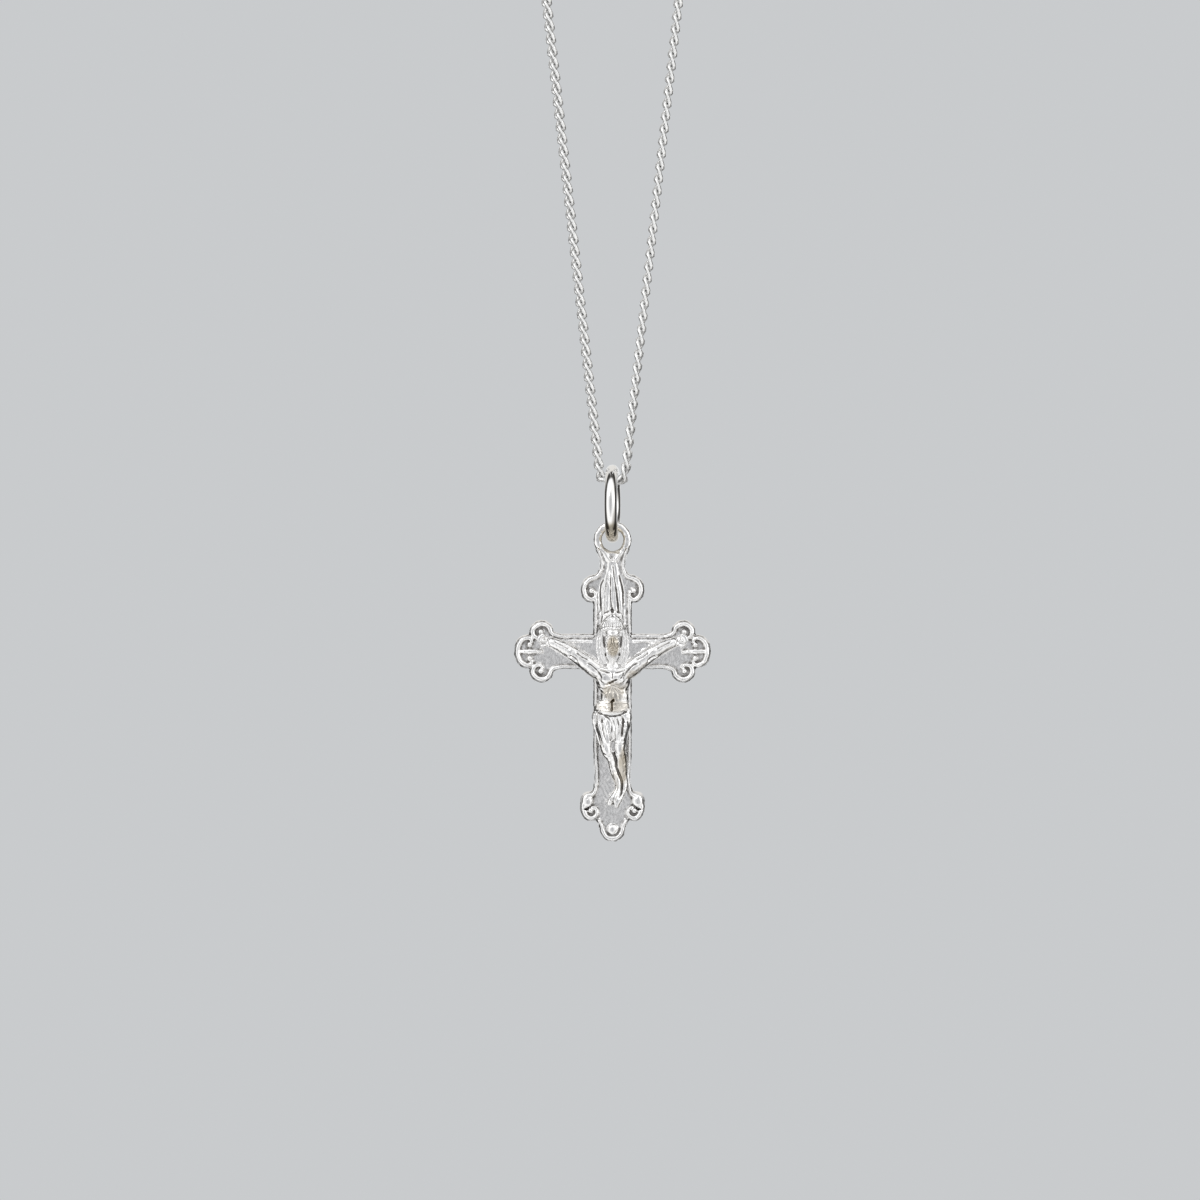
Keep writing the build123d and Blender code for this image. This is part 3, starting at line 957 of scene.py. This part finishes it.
def faceStrokes():
    paired = [
        (0.16, 0.06, [(0.17, 1.22), (0.2, 1.12)]),  # inner corner of the eye
        (0.14, 0.04, [(0.24, 1.0), (0.4, 0.97), (0.56, 1.02)]),  # under the eye
        (0.1, 0.04, [(0.22, 1.3), (0.38, 1.34), (0.54, 1.3)]),  # over the lid
        (0.04, 0.045, [(0.2, 1.09), (0.36, 1.06), (0.54, 1.1)]),  # line of the lashes
        (0.09, 0.05, [(0.2, 0.66), (0.34, 0.46), (0.44, 0.22)]),  # cheek fold
        (0.05, 0.045, [(0.1, 0.44), (0.24, 0.38), (0.36, 0.18)]),
        (0.05, 0.045, [(0.14, 0.36), (0.26, 0.28), (0.36, 0.06)]),
    ]
    middle = [
        (0.04, 0.06, [(-0.17, 0.29), (0, 0.3), (0.17, 0.29)]),  # mouth
        (0.09, 0.06, [(-0.14, 0.09), (0, 0.07), (0.14, 0.09)]),
        (0.05, 0.04, [(0, 0.54), (0, 0.42)]),
    ]
    beard = []
    for k in range(-4, 5):
        x = 0.14 * k
        beard.append((0.055, 0.07, [(x, 0.02 - abs(x) * 0.25), (x * 0.95 + 0.02, -0.35), (x * 0.7, -0.75),
                                    (x * 0.42 + 0.02, -1.1), (x * 0.15, -1.5)]))
    return twin(paired) + middle + beard


def hairStrokes():
    parted = [(0.86, 1.75), (0.8, 1.0), (0.72, 0.3), (0.62, -0.35), (0.42, -0.95), (0.14, -1.62)]
    sides = [(0.1, 0.15, parted)]  # where the hair leaves the face
    for k in range(8):
        x = 0.84 + 0.11 * k
        sides.append((0.055, 0.085, [
            (x * 0.95, 1.95), (x + 0.06, 1.5), (x, 1.05), (x + 0.05, 0.6), (x - 0.04, 0.15),
            (x * 0.95, -0.3), (x * 0.86 - 0.03, -0.75), (x * 0.78, -1.15), (x * 0.66, -1.55),
        ]))
    dome = []
    for k in range(5):  # combed from the crown of the head down to the band
        dome.append((0.06, 0.045, [(0.05 + 0.05 * k, 3.42 - 0.06 * k), (0.15 + 0.15 * k, 3.0 - 0.05 * k),
                                   (0.19 + 0.19 * k, 2.6 - 0.03 * k), (0.2 + 0.2 * k, 2.26)]))
    parting = [(0.06, 0.08, [(0, 3.48), (0, 3.0), (0, 2.6), (0, 2.25)])]
    return twin(sides + dome) + parting


def bodyStrokes():
    paired = [
        (0.16, 0.08, [(0.1, -3.0), (0.62, -3.06), (1.06, -2.84), (1.3, -2.5)]),  # under the chest
        (0.11, 0.07, [(0.5, -3.34), (0.84, -3.46), (1.12, -3.36)]),  # ribs
        (0.11, 0.07, [(0.54, -3.68), (0.82, -3.8), (1.04, -3.7)]),
        (0.15, 0.06, [(0.06, -3.26), (0.4, -3.6), (0.58, -4.0), (0.62, -4.4)]),  # rib arch
        (0.13, -0.06, [(0.2, -1.74), (0.75, -1.62), (1.3, -1.5)]),  # collar bone
        (0.13, 0.08, [(0.14, -1.95), (0.7, -1.84), (1.2, -1.74)]),
        (0.13, 0.16, [(2.4, -1.08), (2.0, -1.16), (1.6, -1.5), (1.26, -1.9), (1.04, -2.35), (1.12, -2.66)]),
        (0.15, 0.13, [(2.2, -0.72), (2.8, -0.42), (3.3, -0.04)]),  # between the arm's muscles
        (0.16, 0.18, [(3.3, -0.8), (3.68, -0.52), (4.0, -0.4)]),  # crook of the arm
        (0.13, 0.12, [(4.0, 0.2), (4.7, 0.62), (5.4, 0.96)]),
        (0.1, 0.05, [(5.78, 0.46), (5.94, 0.82), (5.96, 1.2)]),  # wrist
    ]
    middle = [
        (0.13, 0.1, [(0, -1.9), (0, -2.4), (0, -3.1)]),  # breast bone
        (0.14, 0.28, [(-0.4, -2.94), (-0.1, -2.82), (0.2, -2.64), (0.42, -2.6)]),  # the hollow of the chest
        (0.1, 0.2, [(1.0, -1.95), (0.92, -2.25), (0.72, -2.5)]),
        (0.1, 0.06, [(0.02, -3.5), (0.02, -3.8), (0.02, -4.1)]),
        (0.12, 0.4, [(0.1, -4.36), (-0.06, -4.62), (-0.05, -5.0), (-0.08, -5.46)]),  # gap in the knot
        (0.1, 0.2, [(-0.24, -4.6), (-0.04, -4.56), (0.18, -4.5)]),
        (0.13, 0.16, [(-1.5, -5.52), (-0.7, -5.82), (0.05, -5.92), (0.8, -5.76),
                      (1.46, -5.36)]),  # under the band
        (0.13, 0.18, [(-0.68, -5.92), (-0.42, -6.12), (-0.18, -6.5), (-0.12, -6.95), (-0.1, -7.35)]),
        (0.12, 0.14, [(0.96, -5.95), (0.98, -6.5), (0.9, -7.2), (0.84, -7.8)]),
        (0.12, 0.05, [(-0.98, -5.95), (-0.98, -6.7), (-0.78, -7.6), (-0.52, -8.4)]),
        (0.11, 0.05, [(0.42, -6.1), (0.55, -6.8), (0.58, -7.6)]),
    ]
    return twin(paired) + middle


def legStrokes():
    return [
        (0.14, 0.2, [(-0.1, -8.6), (0.06, -9.2), (0.3, -9.95), (0.38, -10.6), (0.62, -11.3), (0.86, -12.0),
                     (0.84, -12.9), (0.6, -13.5)]),  # between the legs
        (0.12, 0.04, [(-0.86, -9.36), (-0.5, -9.56), (-0.2, -9.5)]),  # under the knees
        (0.12, 0.03, [(0.4, -9.36), (0.68, -9.45), (0.98, -9.34)]),
        (0.12, -0.06, [(-0.2, -9.8), (0.0, -10.6), (0.2, -11.5), (0.46, -12.4)]),  # shins
        (0.14, -0.06, [(0.84, -9.7), (0.92, -10.7), (0.98, -11.6), (1.1, -12.4)]),
        (0.1, 0.12, [(0.14, -13.3), (0.12, -13.8), (0.04, -14.5)]),
        (0.045, 0.08, [(-0.46, -14.1), (-0.5, -14.42)]),  # toes
        (0.045, 0.08, [(-0.34, -14.12), (-0.36, -14.46)]),
        (0.045, 0.08, [(-0.22, -14.1), (-0.22, -14.42)]),
        (0.045, 0.08, [(0.26, -14.3), (0.24, -14.62)]),
        (0.045, 0.08, [(0.39, -14.28), (0.38, -14.6)]),
    ]


def layOn(body, strands, sink):  # strands of x, z, radius dropped on the front of the body
    laid = []
    for strand in strands:
        points = []
        for x, z, radius in sampleStroke(strand)[::6]:
            hit, place, _, _ = body.ray_cast((x, -5, z), (0, 1, 0))
            if hit:
                points.append((x, place.y + radius * sink, z, radius))
        laid.append(points)
    return addStrands(laid)


def cutBack(obj):  # what lies inside the plate is cut away and closed
    pick(obj)
    bpy.ops.object.mode_set(mode="EDIT")
    bpy.ops.mesh.select_all(action="SELECT")
    bpy.ops.mesh.bisect(plane_co=(0, figure["cut"], 0), plane_no=(0, 1, 0), use_fill=True, clear_outer=True)
    bpy.ops.object.mode_set(mode="OBJECT")
    return obj


def addHead():
    parts = [addBlob(middle, size) for middle, size in headBlobs]
    strands = list(headStrands)
    for strand in pairedHeadStrands:
        strands += bothSides(strand)
    parts.append(addStrands(strands, steps=8, sides=4))
    head = joinAs("crucifix_head", parts)
    useModifier(head, "REMESH", mode="VOXEL", voxel_size=figure["headVoxel"])
    useModifier(head, "SMOOTH", factor=0.5, iterations=6)
    twist = figure["browBand"]
    cords = []
    for phase in (0, math.pi):
        cords.append([
            (1.12 * math.sin(t),
             -0.72 - 1.0 * math.cos(t) + twist["depthSwing"] * math.cos(twist["turns"] * t + phase),
             2.02 + 0.14 * math.cos(t) + twist["heightSwing"] * math.sin(twist["turns"] * t + phase),
             twist["wire"])
            for t in np.linspace(-twist["span"], twist["span"], twist["count"])
        ])
    head = joinAs("crucifix_head", [head, addStrands(cords)])
    useModifier(head, "REMESH", mode="VOXEL", voxel_size=figure["headVoxel"])
    useModifier(head, "SMOOTH", factor=0.5, iterations=2)
    sculpt(head, hairStrokes())
    sculpt(head, faceStrokes())
    useModifier(head, "SMOOTH", factor=0.5, iterations=1)
    return cutBack(roughen(head, 0.02, 0.3))


def addBody():
    parts = [addBlob(middle, size) for middle, size in bodyBlobs]
    strands = list(limbs.values())
    for strand in pairedLimbs.values():
        strands += bothSides(strand)
    parts.append(addStrands(strands, steps=8, sides=4))
    body = joinAs("crucifix_body", parts)
    useModifier(body, "REMESH", mode="VOXEL", voxel_size=figure["formVoxel"])
    useModifier(body, "SMOOTH", factor=0.5, iterations=7)
    cloth = joinAs("loincloth", [layOn(body, folds, 0.35), layOn(body, band, 0.55)])
    details = []
    nails = []
    for side in (-1, 1):  # fingers, thumb and the nail in each palm
        for k, (x, z) in enumerate(figure["fingers"]):
            root = (side * (6.2 + 0.1 * k), -0.76, 1.28 - 0.15 * k, 0.16)
            knuckle = (side * (x - 0.1), -0.98, z - 0.02, 0.15)
            details.append([root, knuckle, (side * x, -0.76, z, 0.11)])
        details.append([(side * 6.15, -0.76, 0.6, 0.17), (side * 6.42, -0.94, 0.5, 0.15),
                        (side * 6.68, -0.84, 0.58, 0.11)])
        x, y, z = figure["nail"]
        nails.append(addBlob((side * x, y, z), figure["nailSize"]))
    details.append(figure["footNail"])
    body = joinAs("crucifix_body", [body, cloth, *nails, addStrands(details)])
    useModifier(body, "REMESH", mode="VOXEL", voxel_size=figure["voxel"])
    useModifier(body, "SMOOTH", factor=0.5, iterations=4)
    sculpt(body, legStrokes() + bodyStrokes())
    useModifier(body, "SMOOTH", factor=0.5, iterations=1)
    return cutBack(roughen(body, 0.05, 0.3))


def addFigure():
    return joinAs("crucifix_figure", [addBody(), addHead()])


addCamera()
addLightTent()
for lamp in studio["lamps"]:
    addLamp(*lamp)
addFloor()
print("camera, light and floor set")

castSilver = makeSilver("castSilver", finishes["cast"])
wireSilver = makeSilver("wireSilver", finishes["wire"])
linkSilver = makeSilver("linkSilver", finishes["links"])
claspSilver = makeSilver("claspSilver", finishes["clasp"])

chain = addChain()
dress(chain, linkSilver)
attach(chain, "necklace")
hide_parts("chain")

ring = addJumpRing()
dress(ring, wireSilver)
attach(ring, "ring")
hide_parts("jump_ring")
print("chain and jump ring made")

dress(frame["nodes"]["clasp"], claspSilver)
dress(frame["nodes"]["catch_ring"], wireSilver)
dress(frame["nodes"]["link_ring"], wireSilver)

casting = {"hollowReach": 0.08, "triangles": 185000}
for name, piece, rounds, spots in (
    ("cross", addCross(), 13, []),  # rounds of smoothing that its hollows are read against
    ("figure", addFigure(), 14, figure["toning"]),
):
    # hollows for painted shade in the creases, with the casting's patina
    markHollows(piece, rounds, casting["hollowReach"])
    # painted warm shade in spots on the front
    markPaintedShade(piece, spots)
    thinMesh(piece, casting["triangles"])
    toFrame(piece, (0, 0, crossZ))
    shadeSmooth(piece)
    dress(piece, castSilver)
    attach(piece, "pendant")
    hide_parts("crucifix")
    piece.data.calc_loop_triangles()
    print(name, "made,", len(piece.data.loop_triangles), "triangles")
